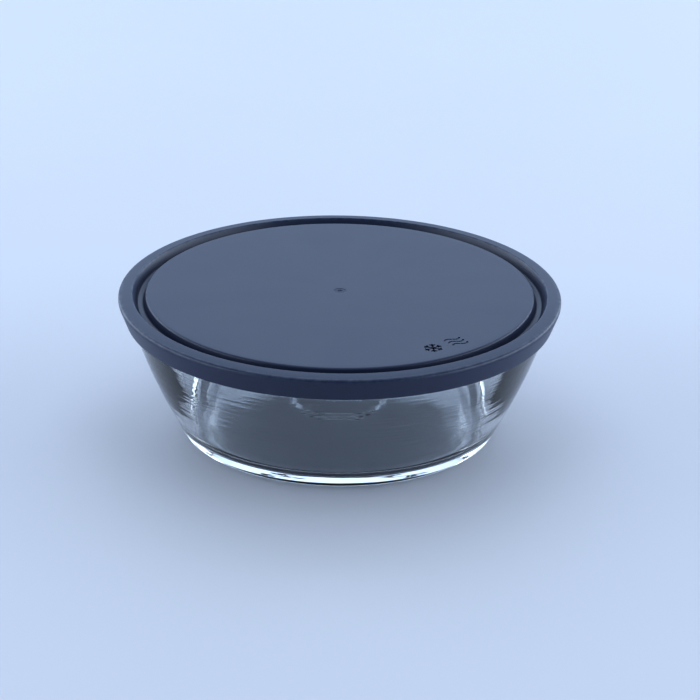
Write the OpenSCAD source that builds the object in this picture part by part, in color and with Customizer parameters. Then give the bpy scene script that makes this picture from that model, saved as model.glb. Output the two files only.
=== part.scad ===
// Round pressed-glass storage bowl with a soft press-on lid.
// +Z is up, the origin is the middle of the face that the bowl stands on. Millimetres.

/* [Overall] */
// Height from the table to the top of the closed lid
total_h = 61; // [58:0.5:66]
// Outer diameter of the lid
lid_d = 190; // [186:1:196]

/* [Lid] */
// Thickness of the lid's walls
lid_wall = 1.1; // [0.9:0.05:1.2]
// Height of the skirt around the glass
skirt_h = 10.5; // [9:0.5:13]
// How far the outside of the skirt draws in from top to bottom
skirt_draft = 3; // [2.6:0.1:3.4]
// Width of the ring on top, from the outside to the groove
rim_w = 6; // [5.6:0.1:6.2]
// How far the ring falls away towards the outside
rim_fall = 0.8; // [0.4:0.1:1]
// Rounding of the ring's outer edge
rim_round = 1.2; // [0.8:0.1:1.6]
// Width of the groove at the top
groove_w = 5.7; // [5.5:0.1:6.5]
// Depth of the groove below the ring
groove_depth = 4.6; // [4.2:0.1:4.8]
// How far the middle panel lies below the ring
panel_drop = 0.5; // [0.2:0.1:0.8]
// Thickness of the middle panel
panel_t = 1.2; // [1:0.1:1.6]

/* [Glass bowl] */
// Outer diameter where the wall meets the table
base_d = 136.8; // [134:0.2:140]
// Height of the bend where the wall turns steeper
bend_z = 23; // [20:0.5:26]
// How far the bend stands out from the straight line between foot and collar
wall_bow = 1.8; // [1.2:0.1:2.2]
// Thickness of the glass at the rim
rim_glass = 2.65; // [2.4:0.05:2.9]
// Thickness of the wall at its foot
foot_glass = 4.4; // [3.8:0.1:5]
// Thickness of the floor
floor_glass = 5; // [4:0.1:6]
// Radius of the corner between floor and wall
floor_round = 9; // [6:0.5:10]
// Radius of the outer edge at the table
heel_round = 2.5; // [1.5:0.1:3]
// Depth of the hollow under the floor
punt_depth = 1.2; // [0.8:0.1:2]
// Width of the ring that the bowl stands on
seat_w = 7; // [6:0.5:9]
// Diameter of the raised ring in the middle of the floor
ring_d = 42; // [36:1:48]

/* [Fit] */
// Radial gap between the skirt's lip and the glass
skirt_gap = 0.25; // [0.2:0.05:0.3]
// Radial gap between the lid's plug and the glass
plug_gap = 0.3; // [0.25:0.05:0.35]
// Height of the sealing rib's foot below the top of the lid
seal_drop = 4.4; // [4.3:0.05:4.5]

/* [Marks] */
// Depth of the engraved care marks
engraving = 0.3; // [0.2:0.05:0.4]
// Height of a care mark
mark_h = 8; // [6:0.5:9]
// Distance of the care marks from the middle
mark_reach = 72; // [60:1:74]
// Direction of the care marks from the middle, counted from +X
mark_angle = -53; // [-180:1:180]
// Diameter of the moulding gate's recess
gate_d = 5.6; // [4:0.2:7]

/* [Hidden] */
$fn = 96;
arc_steps = 6;
wall_steps = 10;

lid_r = lid_d / 2;
lip_r = lid_r - skirt_draft;
lip_edge = 0.35;
lip_inside = lip_r - lid_wall + 0.1;
groove_outer = lid_r - rim_w;
panel_r = groove_outer - groove_w;
panel_edge = 1.1;
panel_draft = 0.9;

collar_r = lip_inside - skirt_gap;
collar_inside = collar_r - rim_glass;
glass_top = total_h - seal_drop;
glass_round = 1.1;
plug_r = collar_inside - plug_gap;

// The groove's outer wall leans so that its back clears the glass at the plug's foot
groove_foot = plug_r - lid_wall * 0.87;
groove_lean = (groove_outer - groove_foot) / groove_depth;
groove_corner = min(1.1, (groove_foot - panel_r - panel_draft) / 1.5);
back_of_lean = lid_wall * norm([1, groove_lean]);

rib_t = 0.8;
rib_edge = 0.15;
rib_inset = glass_round - 0.35;

mark_gap = 4;
stroke = 0.8;
gate_depth = 0.15;
gate_pip_depth = 0.45;
gate_pip_share = 0.45;

// Outlines are lists of [radius, height, rounding]; each corner's rounding is an arc
function flat_point(p) = [p[0], p[1]];
function unit(v) = v / norm(v);
function corner_arc(before, corner, after) =
    let (
        p = flat_point(corner),
        u = unit(flat_point(before) - p),
        v = unit(flat_point(after) - p),
        half = acos(u * v) / 2,
        middle = p + unit(u + v) * corner[2] / sin(half),
        start = p + u * corner[2] / tan(half) - middle,
        first = atan2(start[1], start[0]),
        turn = (180 - 2 * half) * (cross(u, v) > 0 ? -1 : 1),
        steps = corner[2] > 50 ? wall_steps : arc_steps
    )
    [for (i = [0:steps])
        let (a = first + turn * i / steps)
        middle + corner[2] * [cos(a), sin(a)]];
function rounded(c) = [
    for (i = [0:len(c) - 1])
        each c[i][2] == 0
            ? [flat_point(c[i])]
            : corner_arc(c[(i + len(c) - 1) % len(c)], c[i], c[(i + 1) % len(c)])
];

module turned(corners) {
    rotate_extrude($fn = 180) polygon(rounded(corners));
}

// ---- Glass bowl ----

module glass_bowl() {
    base_r = base_d / 2;
    neck_z = total_h - skirt_h + 1.7;
    neck_round = 3;
    shoulder_z = neck_z - 1;
    shoulder_round = 6;
    bend_r = base_r + (collar_r - base_r) * bend_z / neck_z + wall_bow;
    bend_round = 200;
    bend_glass = (rim_glass + foot_glass) / 2 + 1.2;
    foot_inside = base_r + (bend_r - base_r) / bend_z * floor_glass - foot_glass;
    seat_inside = base_r - seat_w;
    seat_edge = 1.5;
    punt_r = seat_inside - 6;
    punt_round = 8;
    ring_r = ring_d / 2;
    ring_half_w = 1.1;
    ring_h = 0.3;
    ring_round = 1;
    color([0.80, 0.88, 0.92, 0.4])
    turned([
        [0, punt_depth, 0],
        [punt_r, punt_depth, punt_round],
        [seat_inside, 0, seat_edge],
        [base_r, 0, heel_round],
        [bend_r, bend_z, bend_round],
        [collar_r, neck_z, neck_round],
        [collar_r, glass_top, glass_round],
        [collar_inside, glass_top, glass_round],
        [collar_inside, shoulder_z, shoulder_round],
        [bend_r - bend_glass, bend_z, bend_round / 2],
        [foot_inside, floor_glass, floor_round],
        [ring_r + ring_half_w, floor_glass, ring_round],
        [ring_r, floor_glass + ring_h, ring_round],
        [ring_r - ring_half_w, floor_glass, ring_round],
        [0, floor_glass, 0],
    ]);
}

// ---- Lid ----

module lid_shell() {
    panel_z = total_h - panel_drop;
    floor_z = total_h - groove_depth;
    edge_z = total_h - rim_fall;
    under_rim = edge_z - lid_wall;
    under_crest = total_h - lid_wall * 1.1;
    inside_round = lid_wall - 0.2;
    rib_r = collar_r - rib_inset;
    rib_meets_wall = floor_z + (rib_r - rib_t - groove_foot - back_of_lean) / groove_lean;
    rib_root = min(rib_meets_wall, under_crest - 0.3);
    turned([
        [0, panel_z, 0],
        [panel_r, panel_z, panel_edge],
        [panel_r + panel_draft, floor_z, groove_corner],
        [groove_foot, floor_z, groove_corner],
        [groove_outer, total_h, 0.5],
        [lid_r, edge_z, rim_round],
        [lid_r, edge_z - rim_round - 0.5, 2],
        [lip_r, total_h - skirt_h, lip_edge],
        [lip_inside, total_h - skirt_h, lip_edge],
        [lid_r - lid_wall - 0.5, under_rim, inside_round],
        [rib_r, under_crest, 0.3],
        [rib_r, glass_top, rib_edge],
        [rib_r - rib_t, glass_top, rib_edge],
        [rib_r - rib_t, rib_root, 0.2],
        [groove_foot + back_of_lean - lid_wall * groove_lean, floor_z - lid_wall, inside_round],
        [panel_r - 0.4, floor_z - lid_wall, inside_round],
        [panel_r - lid_wall - 0.2, panel_z - panel_t, 0.8],
        [0, panel_z - panel_t, 0],
    ]);
}

module bar(length) {
    translate([-length / 2, -stroke / 2]) square([length, stroke]);
}

// Cold mark: a six-armed frost star
module frost_mark() {
    barb = mark_h / 5;
    for (a = [0:60:300]) rotate(a) {
        translate([mark_h / 4, 0]) bar(mark_h / 2);
        for (side = [-1, 1])
            translate([mark_h / 3.4, 0]) rotate(side * 50) translate([barb / 2, 0]) bar(barb);
    }
}

// Warm mark: three waves, one above the other
module wave_mark() {
    crest = mark_h / 4;
    for (row = [-1:1], side = [-1, 1])
        translate([side * crest, row * mark_h / 3])
        rotate(side < 0 ? 0 : 180)
        intersection() {
            translate([0, -crest / 2]) difference() {
                circle(r = crest + stroke / 2);
                circle(r = crest - stroke / 2);
            }
            translate([-crest * 1.1, 0]) square([crest * 2.2, crest]);
        }
}

module care_marks() {
    step = (mark_h + mark_gap) / 2;
    rotate(mark_angle) translate([mark_reach, 0, 0]) rotate(90)
    linear_extrude(height = engraving * 2) {
        translate([-step, 0]) frost_mark();
        translate([step, 0]) wave_mark();
    }
}

module gate_recess() {
    translate([0, 0, -gate_depth]) cylinder(d = gate_d, h = gate_depth * 2);
    translate([0, 0, -gate_pip_depth]) cylinder(d = gate_d * gate_pip_share, h = gate_pip_depth * 2);
}

module lid() {
    panel_z = total_h - panel_drop;
    color([0.30, 0.34, 0.42])
    difference() {
        lid_shell();
        translate([0, 0, panel_z - engraving]) care_marks();
        translate([0, 0, panel_z]) gate_recess();
    }
}

glass_bowl();
lid();
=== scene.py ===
import math

import bmesh
import bpy
from mathutils import Matrix, Vector


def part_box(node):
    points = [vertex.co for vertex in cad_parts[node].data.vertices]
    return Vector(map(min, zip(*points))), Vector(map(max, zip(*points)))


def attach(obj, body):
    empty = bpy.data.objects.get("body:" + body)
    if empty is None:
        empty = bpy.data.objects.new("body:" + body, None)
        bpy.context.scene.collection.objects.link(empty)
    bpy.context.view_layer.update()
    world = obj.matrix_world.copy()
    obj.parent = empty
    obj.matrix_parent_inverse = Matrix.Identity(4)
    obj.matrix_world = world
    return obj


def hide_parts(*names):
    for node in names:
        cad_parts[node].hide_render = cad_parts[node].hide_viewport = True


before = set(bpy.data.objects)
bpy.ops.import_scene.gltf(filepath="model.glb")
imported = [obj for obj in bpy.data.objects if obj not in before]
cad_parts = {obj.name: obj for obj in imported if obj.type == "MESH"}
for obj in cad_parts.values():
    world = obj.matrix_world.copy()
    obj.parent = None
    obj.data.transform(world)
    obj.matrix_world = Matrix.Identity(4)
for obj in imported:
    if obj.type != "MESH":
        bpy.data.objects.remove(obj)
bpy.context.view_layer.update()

BOWL_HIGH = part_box("glass_bowl")[1]
LID_LOW, LID_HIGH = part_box("lid")

# Lid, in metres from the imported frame's axis and table
LID_TOP = LID_HIGH.z
LID_RADIUS = max(LID_HIGH.x, LID_HIGH.y)
LID_WALL = 0.0011
SKIRT_DRAFT = 0.003
LIP_EDGE = 0.00035
RIM_WIDTH = 0.006
RIM_FALL = 0.0008
RIM_ROUND = 0.0012
GROOVE_WIDTH = 0.0057
GROOVE_DEPTH = 0.0046
GROOVE_CORNER = 0.0011
GROOVE_FOOT = 0.08684
PANEL_DROP = 0.0005
PANEL_THICKNESS = 0.0012
PANEL_EDGE = 0.0011
PANEL_DRAFT = 0.0009
INSIDE_ROUND = 0.0009
RIB_THICKNESS = 0.0008
RIB_INSET = 0.00075
RIB_EDGE = 0.00015

# Moulding gate and engraved care marks, on the lid's panel
GATE_RADIUS = 0.0028
GATE_DEPTH = 0.00015
PIP_RADIUS = 0.00126
PIP_DEPTH = 0.00045
ENGRAVING = 0.0003
MARK_HEIGHT = 0.008
MARK_STROKE = 0.0008
MARK_GAP = 0.004
MARK_REACH = 0.072
MARK_ANGLE = math.radians(-53)
BARB_ANGLE = math.radians(50)
WAVE_REACH = math.radians(65)
WAVE_STEPS = 12

# Glass bowl
GLASS_TOP = BOWL_HIGH.z
COLLAR_RADIUS = max(BOWL_HIGH.x, BOWL_HIGH.y)
NECK_ABOVE_SKIRT = 0.0017
NECK_ROUND = 0.003
SHOULDER_DROP = 0.001
SHOULDER_ROUND = 0.006
BASE_RADIUS = 0.0684
BEND_HEIGHT = 0.023
BEND_ROUND = 0.2
WALL_BOW = 0.0018
RIM_GLASS = 0.00265
RIM_GLASS_ROUND = 0.0011
FOOT_GLASS = 0.0044
BEND_EXTRA = 0.0012
FLOOR_GLASS = 0.005
FLOOR_ROUND = 0.009
HEEL_ROUND = 0.0025
PUNT_DEPTH = 0.0012
PUNT_SLOPE = 0.006
PUNT_ROUND = 0.008
SEAT_WIDTH = 0.007
SEAT_ROUND = 0.0015
RING_RADIUS = 0.021
RING_HALF_WIDTH = 0.0011
RING_HEIGHT = 0.0003
RING_ROUND = 0.001

# How much of a lamp's light the glass lets straight through
LIGHT_LET_BY = 0.45

# Soft boxes: where each one is, where it aims, its two sides, its watts and its colour
SOFT_BOXES = {
    "top_soft_box": ((0, 0.2, 1.9), (0, 0.1, 0), (2.2, 2.4), 15.6, (0.69, 0.84, 1.0)),
    "back_soft_box": ((0, 2.1, 1.45), (0, 0, 0.5), (4.2, 2.3), 41.5, (0.61, 0.76, 1.0)),
    "left_soft_box": ((-1.3, 0.3, 0.46), (0, 0.3, 0.40), (3.0, 0.9), 24.0, (0.74, 0.86, 1.0)),
    "right_soft_box": ((1.3, 0.3, 0.46), (0, 0.3, 0.40), (3.0, 0.9), 26.0, (0.74, 0.86, 1.0)),
}
ROOM_COLOUR = (0.60, 0.76, 1.0, 1)
ROOM_STRENGTH = 0.13

# Camera
LENS = 125.5
SENSOR_WIDTH = 36
CAMERA_PLACE = (0.0047, -0.9738, LID_TOP + 0.3913)
CAMERA_PITCH = math.radians(23.31)
CAMERA_ROLL = math.radians(0.824)
FLOOR_HALF_SIDE = 6

TURNS = 256
ARC_STEPS = 8
LONGEST_CELL = 0.0025
SHARP_ANGLE = math.radians(32)
SEAM = 1e-6


# ------------------------------------------------------------ turned shapes

def round_corner(maker, vertex, radius):
    """Rounds one corner of an open outline to a given radius."""
    before, after = (edge.other_vert(vertex).co for edge in vertex.link_edges)
    half = (before - vertex.co).angle(after - vertex.co) / 2
    bmesh.ops.bevel(
        maker, geom=[vertex], affect="VERTICES", offset_type="OFFSET",
        offset=radius / math.tan(half), segments=ARC_STEPS, profile=0.5,
        clamp_overlap=False, material=-1,
    )


def turned(name, outline):
    """Turns (radius, height, rounding) corners, from axis to axis, into a closed body."""
    maker = bmesh.new()
    corners = [maker.verts.new((radius, 0, height)) for radius, height, _ in outline]
    for start, end in zip(corners, corners[1:]):
        maker.edges.new((start, end))
    for vertex, (_, _, rounding) in zip(corners, outline):
        if rounding:
            round_corner(maker, vertex, rounding)
    for edge in list(maker.edges):
        cuts = math.ceil(edge.calc_length() / LONGEST_CELL) - 1
        if cuts > 0:
            bmesh.ops.subdivide_edges(maker, edges=[edge], cuts=cuts)
    bmesh.ops.spin(
        maker, geom=maker.verts[:] + maker.edges[:], cent=(0, 0, 0), axis=(0, 0, 1),
        angle=math.tau, steps=TURNS, use_merge=True,
    )
    bmesh.ops.remove_doubles(maker, verts=maker.verts[:], dist=SEAM)
    bmesh.ops.recalc_face_normals(maker, faces=maker.faces[:])
    return piece_from(name, maker)


def shade(maker):
    """Smooth faces between sharp edges."""
    for face in maker.faces:
        face.smooth = True
    for edge in maker.edges:
        edge.smooth = edge.calc_face_angle(0) < SHARP_ANGLE


def piece_from(name, maker):
    shade(maker)
    mesh = bpy.data.meshes.new(name)
    maker.to_mesh(mesh)
    maker.free()
    piece = bpy.data.objects.new(name, mesh)
    bpy.context.scene.collection.objects.link(piece)
    return piece


def bowl_outline():
    neck = LID_LOW.z + NECK_ABOVE_SKIRT
    straight = BASE_RADIUS + (COLLAR_RADIUS - BASE_RADIUS) * BEND_HEIGHT / neck
    bend_radius = straight + WALL_BOW
    bend_glass = (RIM_GLASS + FOOT_GLASS) / 2 + BEND_EXTRA
    spread = (bend_radius - BASE_RADIUS) / BEND_HEIGHT
    foot_inside = BASE_RADIUS + spread * FLOOR_GLASS - FOOT_GLASS
    collar_inside = COLLAR_RADIUS - RIM_GLASS
    seat_inside = BASE_RADIUS - SEAT_WIDTH
    return [
        (0, PUNT_DEPTH, 0),
        (seat_inside - PUNT_SLOPE, PUNT_DEPTH, PUNT_ROUND),
        (seat_inside, 0, SEAT_ROUND),
        (BASE_RADIUS, 0, HEEL_ROUND),
        (bend_radius, BEND_HEIGHT, BEND_ROUND),
        (COLLAR_RADIUS, neck, NECK_ROUND),
        (COLLAR_RADIUS, GLASS_TOP, RIM_GLASS_ROUND),
        (collar_inside, GLASS_TOP, RIM_GLASS_ROUND),
        (collar_inside, neck - SHOULDER_DROP, SHOULDER_ROUND),
        (bend_radius - bend_glass, BEND_HEIGHT, BEND_ROUND / 2),
        (foot_inside, FLOOR_GLASS, FLOOR_ROUND),
        (RING_RADIUS + RING_HALF_WIDTH, FLOOR_GLASS, RING_ROUND),
        (RING_RADIUS, FLOOR_GLASS + RING_HEIGHT, RING_ROUND),
        (RING_RADIUS - RING_HALF_WIDTH, FLOOR_GLASS, RING_ROUND),
        (0, FLOOR_GLASS, 0),
    ]


def lid_outline():
    panel = LID_TOP - PANEL_DROP
    groove_floor = LID_TOP - GROOVE_DEPTH
    groove_outer = LID_RADIUS - RIM_WIDTH
    panel_radius = groove_outer - GROOVE_WIDTH
    lip = LID_RADIUS - SKIRT_DRAFT
    lean = (groove_outer - GROOVE_FOOT) / GROOVE_DEPTH
    back_of_lean = LID_WALL * math.hypot(1, lean)
    rib = COLLAR_RADIUS - RIB_INSET
    rim_edge = LID_TOP - RIM_FALL
    under_rim = rim_edge - LID_WALL
    under_crest = LID_TOP - LID_WALL * 1.1
    rib_root = groove_floor + (rib - RIB_THICKNESS - GROOVE_FOOT - back_of_lean) / lean
    plug_foot = GROOVE_FOOT + back_of_lean - LID_WALL * lean
    return [
        (0, panel - PIP_DEPTH, 0),
        (PIP_RADIUS * 0.7, panel - PIP_DEPTH, 0.0002),
        (PIP_RADIUS, panel - GATE_DEPTH, 0.00015),
        (GATE_RADIUS - 0.0003, panel - GATE_DEPTH, 0.00015),
        (GATE_RADIUS, panel, 0.00012),
        (panel_radius, panel, PANEL_EDGE),
        (panel_radius + PANEL_DRAFT, groove_floor, GROOVE_CORNER),
        (GROOVE_FOOT, groove_floor, GROOVE_CORNER),
        (groove_outer, LID_TOP, 0.0005),
        (LID_RADIUS, rim_edge, RIM_ROUND),
        (LID_RADIUS, rim_edge - RIM_ROUND - 0.0005, 0.002),
        (lip, LID_LOW.z, LIP_EDGE),
        (lip - LID_WALL + 0.0001, LID_LOW.z, LIP_EDGE),
        (LID_RADIUS - LID_WALL - 0.0005, under_rim, INSIDE_ROUND),
        (rib, under_crest, 0.0003),
        (rib, GLASS_TOP, RIB_EDGE),
        (rib - RIB_THICKNESS, GLASS_TOP, RIB_EDGE),
        (rib - RIB_THICKNESS, rib_root, 0.0002),
        (plug_foot, groove_floor - LID_WALL, INSIDE_ROUND),
        (panel_radius - 0.0004, groove_floor - LID_WALL, INSIDE_ROUND),
        (panel_radius - LID_WALL - 0.0002, panel - PANEL_THICKNESS, 0.0008),
        (0, panel - PANEL_THICKNESS, 0),
    ]


# ------------------------------------------------------------ engraved care marks

def cut_bar(maker, place, length):
    """A straight stroke that starts at its place and runs along +X."""
    size = Matrix.Diagonal((length, MARK_STROKE, ENGRAVING * 2, 1))
    middle = place @ Matrix.Translation((length / 2, 0, 0))
    bmesh.ops.create_cube(maker, size=1, matrix=middle @ size)


def cut_arch(maker, place, radius):
    """One arch of a wave: a stroke's section, swept round part of a circle."""
    for vertex in maker.verts:
        vertex.tag = True
    section = [
        maker.verts.new((0, radius + side * MARK_STROKE / 2, depth * ENGRAVING))
        for side, depth in ((-1, -1), (1, -1), (1, 1), (-1, 1))
    ]
    end = maker.faces.new(section)
    turn = Matrix.Rotation(-WAVE_REACH, 3, "Z")
    bmesh.ops.rotate(maker, verts=section, cent=(0, 0, 0), matrix=turn)
    bmesh.ops.spin(
        maker, geom=[end] + list(end.edges) + section, cent=(0, 0, 0), axis=(0, 0, 1),
        angle=2 * WAVE_REACH, steps=WAVE_STEPS, use_duplicate=False,
    )
    swept = [vertex for vertex in maker.verts if not vertex.tag]
    drop = Matrix.Translation((0, -radius / 2, 0))
    bmesh.ops.transform(maker, verts=swept, matrix=place @ drop)


def mark_cutter():
    """A six-armed frost star and three waves, side by side, as one cutter."""
    maker = bmesh.new()
    panel = LID_TOP - PANEL_DROP
    seat = (
        Matrix.Rotation(MARK_ANGLE, 4, "Z")
        @ Matrix.Translation((MARK_REACH, 0, panel))
        @ Matrix.Rotation(math.pi / 2, 4, "Z")
    )
    step = (MARK_HEIGHT + MARK_GAP) / 2
    star = seat @ Matrix.Translation((-step, 0, 0))
    for arm in range(6):
        along = star @ Matrix.Rotation(arm * math.tau / 6, 4, "Z")
        cut_bar(maker, along, MARK_HEIGHT / 2)
        fork = along @ Matrix.Translation((MARK_HEIGHT / 3.4, 0, 0))
        for side in (-1, 1):
            barb = fork @ Matrix.Rotation(side * BARB_ANGLE, 4, "Z")
            cut_bar(maker, barb, MARK_HEIGHT / 5)
    crest = MARK_HEIGHT / 4
    for row in (-1, 0, 1):
        for side in (-1, 1):
            arch = seat @ Matrix.Translation((step + side * crest, row * MARK_HEIGHT / 3, 0))
            turn = Matrix.Rotation(math.pi if side > 0 else 0, 4, "Z")
            cut_arch(maker, arch @ turn, crest)
    bmesh.ops.remove_doubles(maker, verts=maker.verts[:], dist=SEAM / 100)
    bmesh.ops.recalc_face_normals(maker, faces=maker.faces[:])
    return piece_from("mark_cutter", maker)


def engrave(piece, cutter):
    """Cuts the marks into the piece, and leaves a plain mesh behind."""
    cut = piece.modifiers.new("care_marks", "BOOLEAN")
    cut.operation = "DIFFERENCE"
    cut.solver = "EXACT"
    cut.use_self = True
    cut.object = cutter
    whole = piece.data
    ready = piece.evaluated_get(bpy.context.evaluated_depsgraph_get())
    piece.data = bpy.data.meshes.new_from_object(ready)
    piece.data.name = piece.name
    piece.modifiers.clear()
    bpy.data.objects.remove(cutter)
    bpy.data.meshes.remove(whole)
    maker = bmesh.new()
    maker.from_mesh(piece.data)
    bmesh.ops.remove_doubles(maker, verts=maker.verts[:], dist=SEAM)
    bmesh.ops.recalc_face_normals(maker, faces=maker.faces[:])
    shade(maker)
    maker.to_mesh(piece.data)
    maker.free()


# ------------------------------------------------------------ finishes

class Signal:
    """A socket that gives a value, with its sums written as on numbers."""

    def __init__(self, finish, socket):
        self.finish = finish
        self.socket = socket

    def sum_with(self, operation, first, second):
        return self.finish.node("Math", {"operation": operation}, {0: first, 1: second})

    def __add__(self, other):
        return self.sum_with("ADD", self, other)

    __radd__ = __add__

    def __sub__(self, other):
        return self.sum_with("SUBTRACT", self, other)

    def __rsub__(self, other):
        return self.sum_with("SUBTRACT", other, self)

    def __mul__(self, other):
        return self.sum_with("MULTIPLY", self, other)

    __rmul__ = __mul__

    def __truediv__(self, other):
        return self.sum_with("DIVIDE", self, other)

    def __pow__(self, other):
        return self.sum_with("POWER", self, other)


class Finish:
    """One material and the nodes behind its shader."""

    def __init__(self, name, **constants):
        self.material = bpy.data.materials.new(name)
        self.material.use_nodes = True
        self.nodes = self.material.node_tree.nodes
        self.links = self.material.node_tree.links
        self.shader = self.nodes["Principled BSDF"]
        for key, value in constants.items():
            self.shader.inputs[key.replace("_", " ")].default_value = value

    def feed(self, socket, value):
        if isinstance(value, Signal):
            self.links.new(value.socket, socket)
        else:
            socket.default_value = value

    def node(self, kind, settings, inputs, output=0):
        """Adds a node: its type, its settings, then the values or links of its sockets."""
        made = self.nodes.new("ShaderNode" + kind)
        for key, value in settings.items():
            setattr(made, key, value)
        for key, value in inputs.items():
            self.feed(made.inputs[key], value)
        return Signal(self, made.outputs[output])

    def place(self):
        """A point's place on the piece: the vector, its parts and its distance from the axis."""
        spot = self.node("TexCoord", {}, {}, output="Object")
        x, y, z = (self.node("SeparateXYZ", {}, {0: spot}, output=axis) for axis in "XYZ")
        return spot, x, y, z, (x * x + y * y) ** 0.5

    def vector(self, x, y, z):
        return self.node("CombineXYZ", {}, {0: x, 1: y, 2: z})

    def cloud(self, spot, scale, detail=2.0):
        return self.node("TexNoise", {}, {"Vector": spot, "Scale": scale, "Detail": detail})

    def between(self, value, low, high):
        """Rises softly from 0 at low to 1 at high."""
        return self.node(
            "MapRange", {"interpolation_type": "SMOOTHSTEP"},
            {"Value": value, "From Min": low, "From Max": high},
        )

    def mix(self, share, first, second):
        """Blends two colours."""
        return self.node(
            "Mix", {"data_type": "RGBA"}, {"Factor": share, 6: first, 7: second}, output=2,
        )

    def bump(self, height, depth, strength, **below):
        """A bump of some height in metres, with the Normal of a coarser bump below it, if there is one."""
        inputs = {"Height": height, "Distance": depth, "Strength": strength}
        return self.node("Bump", {}, inputs | below)

    def done(self, **surface):
        for key, value in surface.items():
            self.feed(self.shader.inputs[key.replace("_", " ")], value)
        return self.material


def slate_plastic():
    """Soft matte plastic: fine spark grain, faint flow from the gate, edges lighter in patches, partly
    rubbed wear and partly a painted highlight.
    """
    finish = Finish("slate_plastic", IOR=1.45)
    spot, x, y, z, radius = finish.place()
    reach = radius + 0.004
    flow = finish.cloud(finish.vector(x / reach * 7, y / reach * 7, radius * 18), 1.0, 3.0)
    blotch = finish.cloud(spot, 26.0, 3.0)
    grain = finish.cloud(spot, 1900.0, 2.0)
    edge_patches = finish.cloud(spot, 340.0, 3.0)
    rim = finish.between(radius, LID_RADIUS - 0.0022, LID_RADIUS - 0.0006)
    ring = LID_RADIUS - RIM_WIDTH
    crest = finish.between(radius, ring - 0.0007, ring)
    crest = crest * (1 - finish.between(radius, ring, ring + 0.0009))
    high = finish.between(z, LID_TOP - 0.0026, LID_TOP - 0.0006)
    lip = 1 - finish.between(z, LID_LOW.z + 0.0001, LID_LOW.z + 0.0009)
    # Rim, groove crest and lip edges made lighter in patches: partly rubbed wear, partly a painted
    # highlight where these edges catch the light.
    edge_wear_and_highlight = (rim * high + crest * high + lip * 0.6) * finish.between(edge_patches, 0.38, 0.62)
    gate = 1 - finish.between(radius, GATE_RADIUS - 0.0002, GATE_RADIUS + 0.0001)
    deep, pale = (0.017, 0.025, 0.059, 1), (0.023, 0.032, 0.070, 1)
    # The second colour here is the lighter edge colour: partly rubbed wear, partly painted highlight.
    speck, rubbed = (0.032, 0.042, 0.080, 1), (0.085, 0.104, 0.150, 1)
    tone = finish.mix(blotch * 0.6 + flow * 0.4, deep, pale)
    tone = finish.mix(grain * 0.35, tone, speck)
    tone = finish.mix(edge_wear_and_highlight * 0.35, tone, rubbed)
    rough = 0.32 + blotch * 0.05 + flow * 0.04 + grain * 0.05 - edge_wear_and_highlight * 0.06 + gate * 0.08
    wave = finish.bump(finish.cloud(spot, 32.0, 1.0), 0.00025, 0.5)
    return finish.done(
        Base_Color=tone, Roughness=rough,
        Normal=finish.bump(grain, 0.000012, 0.6, Normal=wave),
    )


def pressed_glass():
    """Clear glass with rings of ripple left in the wall by the mould, and a rubbed seat."""
    finish = Finish("pressed_glass", IOR=1.5, Transmission_Weight=1.0)
    spot, x, y, z, radius = finish.place()
    ripple = finish.cloud(finish.vector(x * 9, y * 9, z * 210), 1.0, 2.0)
    swirl = finish.cloud(spot, 45.0, 1.0)
    seat = (1 - finish.between(z, 0.0001, 0.0007)) * finish.between(radius, 0.058, 0.062)
    scuff = finish.between(finish.cloud(spot, 700.0, 3.0), 0.45, 0.6)
    thick = 1 - finish.between(z, 0.002, 0.030)
    bright, deep = (0.972, 0.988, 1.0, 1), (0.955, 0.982, 0.995, 1)
    glass = Signal(finish, finish.shader.outputs[0])
    clear = finish.node("BsdfTransparent", {}, {0: (0.92, 0.96, 1.0, 1)})
    shadow = finish.node("LightPath", {}, {}, output="Is Shadow Ray")
    mixed = finish.node("MixShader", {}, {0: shadow * LIGHT_LET_BY, 1: glass, 2: clear})
    finish.feed(finish.nodes["Material Output"].inputs["Surface"], mixed)
    return finish.done(
        Base_Color=finish.mix(thick * 0.8 + swirl * 0.2, bright, deep),
        Roughness=seat * (0.12 + scuff * 0.2),
        Normal=finish.bump(ripple * 0.8 + swirl * 0.6, 0.0003, 0.5),
    )


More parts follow.
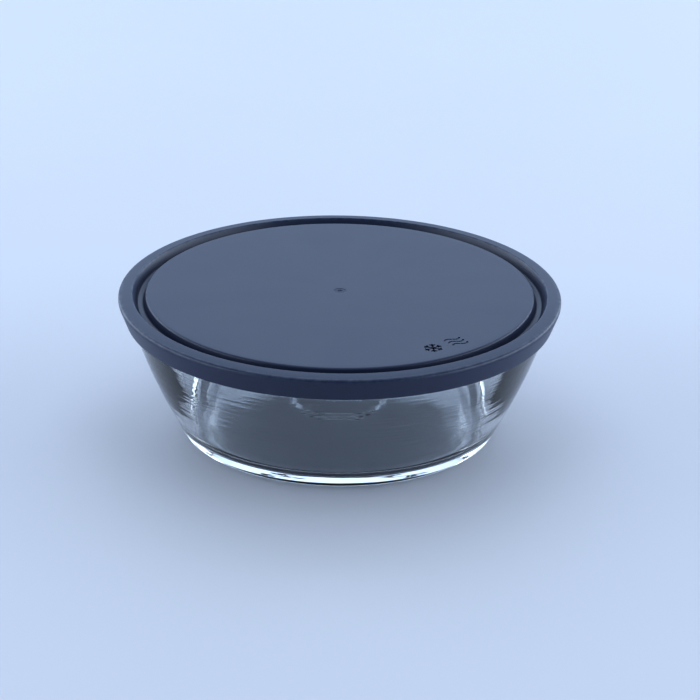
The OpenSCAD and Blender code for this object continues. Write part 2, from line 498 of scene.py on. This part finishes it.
def studio_paper():
    """Pale paper with a faint cloudiness and tooth."""
    finish = Finish("studio_paper")
    spot = finish.place()[0]
    cloud = finish.cloud(spot, 5.0, 3.0)
    tooth = finish.cloud(spot, 900.0, 2.0)
    return finish.done(
        Base_Color=finish.mix(cloud, (0.640, 0.641, 0.695, 1), (0.668, 0.669, 0.725, 1)),
        Roughness=0.56 + tooth * 0.08,
        Normal=finish.bump(tooth, 0.00002, 0.3),
    )


# ------------------------------------------------------------ studio

def make_camera():
    data = bpy.data.cameras.new("camera")
    data.lens = LENS
    data.sensor_width = SENSOR_WIDTH
    camera = bpy.data.objects.new("camera", data)
    bpy.context.scene.collection.objects.link(camera)
    tilt = Matrix.Rotation(math.pi / 2 - CAMERA_PITCH, 4, "X")
    roll = Matrix.Rotation(CAMERA_ROLL, 4, "Z")
    camera.matrix_world = Matrix.Translation(CAMERA_PLACE) @ tilt @ roll
    bpy.context.scene.camera = camera


def make_floor():
    maker = bmesh.new()
    bmesh.ops.create_grid(maker, x_segments=1, y_segments=1, size=FLOOR_HALF_SIDE)
    floor = piece_from("floor", maker)
    floor.data.materials.append(studio_paper())


def soft_box(name, place, aim, size, power, colour):
    data = bpy.data.lights.new(name, "AREA")
    data.shape = "RECTANGLE"
    data.size, data.size_y = size
    data.energy = power
    data.color = colour
    light = bpy.data.objects.new(name, data)
    bpy.context.scene.collection.objects.link(light)
    light.location = place
    light.rotation_euler = (Vector(aim) - Vector(place)).to_track_quat("-Z", "Y").to_euler()


def make_lights():
    world = bpy.data.worlds.new("studio")
    bpy.context.scene.world = world
    world.use_nodes = True
    room = world.node_tree.nodes["Background"].inputs
    room["Color"].default_value = ROOM_COLOUR
    room["Strength"].default_value = ROOM_STRENGTH
    for name, settings in SOFT_BOXES.items():
        soft_box(name, *settings)
    bpy.context.scene.view_settings.view_transform = "Standard"
    bpy.context.scene.view_settings.look = "Medium High Contrast"


def stand_for(piece, body, node, material):
    piece.data.materials.append(material)
    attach(piece, body)
    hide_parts(node)


make_camera()
make_lights()
make_floor()
bowl = turned("bowl", bowl_outline())
stand_for(bowl, "bowl", "glass_bowl", pressed_glass())
lid = turned("press_on_lid", lid_outline())
engrave(lid, mark_cutter())
stand_for(lid, "lid", "lid", slate_plastic())
